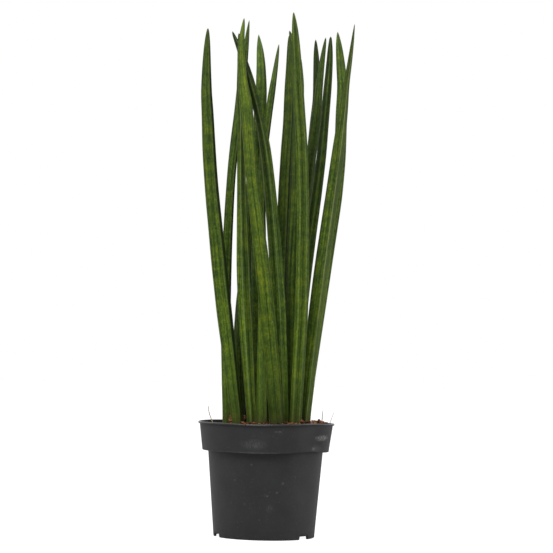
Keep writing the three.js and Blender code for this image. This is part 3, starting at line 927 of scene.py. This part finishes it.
def make_crumbs():
    """Every crumb as one mesh: a ball of 80 faces, roughened, stretched and turned each its way.

    A corner of a crumb is at place + turn @ (size * stretch * ball * (1 + roughness)), with a
    random rotation from three random axes made square to each other.
    """
    random = np.random.default_rng(29)
    places, sizes, shades = (np.concatenate([scattered, near]) for scattered, near in
                             zip(scattered_crumbs(random), zip(*NEAR_CRUMBS)))
    count = len(places)
    ball, faces = unit_ball()
    rough = 1 + random.normal(0, CRUMB_ROUGHNESS, (count, len(ball), 1))
    stretch = random.uniform(*CRUMB_STRETCHES, (count, 3))[:, None]
    turned = np.linalg.qr(random.normal(size=(count, 3, 3)))[0]
    turned *= np.linalg.det(turned)[:, None, None]
    corners = np.einsum("cij,cpj->cpi", turned, ball * rough * stretch * sizes[:, None, None])
    points = (corners + places[:, None]).reshape(-1, 3)
    faces = (faces + len(ball) * np.arange(count)[:, None, None]).reshape(-1, 3)
    mix = make_potting_mix("bark_and_coir", by_crumb=True)
    crumbs = make_piece("soil_crumbs", points, faces.tolist(), mix, smooth=False)
    stored = crumbs.data.attributes.new("shade", "FLOAT", "POINT")
    stored.data.foreach_set("value", np.repeat(shades, len(ball)))
    return crumbs


crumbs = make_crumbs()
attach(crumbs, "root")

# ------------------------------------------------------------------------------------------
# Fibres. Stray ends of root and coir, light brown and dry: three long ones stand up by the
# lip, and the rest are short bristles half pressed into the soil.
# ------------------------------------------------------------------------------------------

FIBRE_COUNT = 150
FIBRE_FIELD = 0.074  # radius that the bristles' feet stay within
FIBRE_LENGTHS = (0.003, 0.010)  # least and greatest reach over the soil
BEND_RISES, END_RISES = (0.002, 0.0045), (0.0005, 0.003)
FIBRE_RADIUS = 0.00018
FIBRE_TAPER = 0.4  # share of its radius that a fibre loses on the way to its end
FIBRE_ROOM = 0.0006  # clearance from the leaves
FIBRE_STATIONS, FIBRE_SIDES = 9, 5
ROOT_BROWNS = [(0.30, (0.12, 0.07, 0.035)), (0.70, (0.34, 0.25, 0.16))]

# The three roots that stand up: foot, bend and end, and radius.
TALL_ROOTS = [
    (((-0.0620, -0.0440, 0.1350), (-0.0715, -0.0400, 0.1509), (-0.0717, -0.0360, 0.1612)), 0.00062),
    (((0.0686, -0.0400, 0.1400), (0.0690, -0.0400, 0.1510), (0.0699, -0.0390, 0.1592)), 0.00062),
    (((0.0790, -0.0120, 0.1400), (0.0815, -0.0100, 0.1485), (0.0848, -0.0090, 0.1565)), 0.00040),
]


def fibre_courses():
    """Foot, bend and end of each fibre that clears the leaves, and its radius at the foot."""
    random = np.random.default_rng(41)
    x, y = strewn(random, FIBRE_COUNT, FIBRE_FIELD)
    foot = np.stack([x, y, soil_level(x, y)], axis=-1)
    lean = random.normal(0, 1, (FIBRE_COUNT, 2))
    lean /= np.linalg.norm(lean, axis=1, keepdims=True)
    length = random.uniform(*FIBRE_LENGTHS, FIBRE_COUNT)[:, None]
    bend = foot + np.column_stack([lean * length * 0.5, random.uniform(*BEND_RISES, FIBRE_COUNT)])
    end = foot + np.column_stack([lean * length, random.uniform(*END_RISES, FIBRE_COUNT)])
    tall_courses, tall_radii = zip(*TALL_ROOTS)
    courses = np.concatenate([np.stack([foot, bend, end], axis=1), tall_courses])
    radii = np.append(np.full(FIBRE_COUNT, FIBRE_RADIUS), tall_radii)
    foot_room, end_room = (room_at(courses[:, k, 0], courses[:, k, 1]) for k in (0, 2))
    clear = np.minimum(foot_room, end_room) > FIBRE_ROOM
    return courses[clear], radii[clear]


def make_dry_root():
    """Dry root, in browns that change along and between the fibres."""
    root, shader = new_material("dry_root")
    shade = noise(source(root, "TexCoord", "Object"), 160, detail=3)
    set_inputs(shader, {"Base Color": ramp(shade, ROOT_BROWNS), "Roughness": 0.8})
    return root


def make_fibres():
    """Thin tubes, each along the parabola (1-t)^2 foot + 2t(1-t) bend + t^2 end, and tapered."""
    courses, radii = fibre_courses()
    foot, bend, end = courses.transpose(1, 0, 2)[:, :, None]
    t = np.linspace(0, 1, FIBRE_STATIONS)[:, None]
    path = (1 - t) ** 2 * foot + 2 * t * (1 - t) * bend + t ** 2 * end
    tangent = np.gradient(path, axis=1)
    tangent /= np.linalg.norm(tangent, axis=2, keepdims=True)
    side = np.cross(tangent, [0.3, 0.9, 0.1])
    side /= np.linalg.norm(side, axis=2, keepdims=True)
    back = np.cross(tangent, side)
    turns = np.linspace(0, 2 * math.pi, FIBRE_SIDES, endpoint=False)[:, None]
    spokes = np.cos(turns) * side[:, :, None] + np.sin(turns) * back[:, :, None]
    radius = radii[:, None, None, None] * (1 - FIBRE_TAPER * t)[:, :, None]
    rings = path[:, :, None] + radius * spokes
    points, faces = zip(*(closed_skin(ring) for ring in rings))
    faces = [[corner + k * len(points[0]) for corner in face]
             for k, group in enumerate(faces) for face in group]
    return make_piece("root_fibres", np.concatenate(points), faces, make_dry_root())


fibres = make_fibres()
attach(fibres, "root")

# ------------------------------------------------------------------------------------------
# Studio. The pot stands on a plain white table in a white room. A large soft light hangs in
# front of it, up on the left, a weak one stands on the right, and the room lights the back.
# ------------------------------------------------------------------------------------------

TABLE_HALF = 30.0
FRAME_WIDTH = 553  # pixels
FOCAL_LENGTH = 1747  # pixels
SENSOR_WIDTH = 36  # mm
CAMERA_PLACE = (0, -2.2, 0.2)
CAMERA_SWING, CAMERA_TILT, CAMERA_ROLL = np.radians([-0.243, 3.264, 1.17])


def make_table():
    """A square of white table under the pot. It meets the white behind it with no line.

    It glows only where it's seen directly, so it throws little light up at the plant.
    """
    white, shader = new_material("white_table")
    seen = source(white, "LightPath", "Is Camera Ray")
    set_inputs(shader, {
        "Base Color": (0.2, 0.2, 0.2, 1), "Roughness": 0.9, "Emission Color": (1, 1, 1, 1),
        "Emission Strength": ranged(seen, 0, 1, 0.0, 0.95)})
    corners = [(x * TABLE_HALF, y * TABLE_HALF, 0) for x, y in ((-1, -1), (1, -1), (1, 1), (-1, 1))]
    return make_piece("table_top", corners, [(0, 1, 2, 3)], white, smooth=False)


def make_room():
    """White all round for the eye. Its light is strong from the back and weak from the front."""
    room = bpy.data.worlds.new("white_room")
    room.use_nodes = True
    way = source(room, "TexCoord", "Generated")
    deep = node("SeparateXYZ", {0: way}).outputs["Y"]
    greys = ((0.08, 0.06), (0.36, 0.40), (0.55, 0.80), (0.80, 1.00))
    light = ramp(ranged(deep, -1, 1), [(at, (grey,) * 3) for at, grey in greys])
    seen = source(room, "LightPath", "Is Camera Ray")
    set_inputs(room.node_tree.nodes["Background"], {
        "Color": (1, 1, 1, 1), "Strength": maths("MAXIMUM", light, seen)})
    bpy.context.scene.world = room


def make_light(name, place, target, size, watts):
    """A square area light at a place, turned to face its target."""
    light = bpy.data.lights.new(name, "AREA")
    light.shape = "SQUARE"
    light.size = size
    light.energy = watts
    lamp = bpy.data.objects.new(name, light)
    away = np.array(place) - np.array(target)
    turn = Matrix.Rotation(math.atan2(away[0], -away[1]), 4, "Z")
    tip = Matrix.Rotation(math.atan2(np.hypot(*away[:2]), away[2]), 4, "X")
    lamp.matrix_world = Matrix.Translation(place) @ turn @ tip
    bpy.context.scene.collection.objects.link(lamp)


def make_camera():
    """A long lens 2.2 m in front of the pot, 200 mm up, tipped up and rolled a little."""
    camera = bpy.data.objects.new("camera", bpy.data.cameras.new("camera"))
    camera.data.sensor_width = SENSOR_WIDTH
    camera.data.lens = SENSOR_WIDTH * FOCAL_LENGTH / FRAME_WIDTH
    camera.matrix_world = (Matrix.Translation(CAMERA_PLACE)
                           @ Matrix.Rotation(CAMERA_SWING, 4, "Z")
                           @ Matrix.Rotation(math.pi / 2 + CAMERA_TILT, 4, "X")
                           @ Matrix.Rotation(CAMERA_ROLL, 4, "Z"))
    bpy.context.scene.collection.objects.link(camera)
    bpy.context.scene.camera = camera


make_table()
make_room()
make_light("front_softbox", (-0.6, -1.6, 2.3), (0, 0, 0.3), 1.6, 83)
make_light("side_softbox", (2.0, -0.5, 0.8), (0, 0, 0.35), 1.0, 10)
make_camera()
bpy.context.scene.view_settings.view_transform = "Standard"
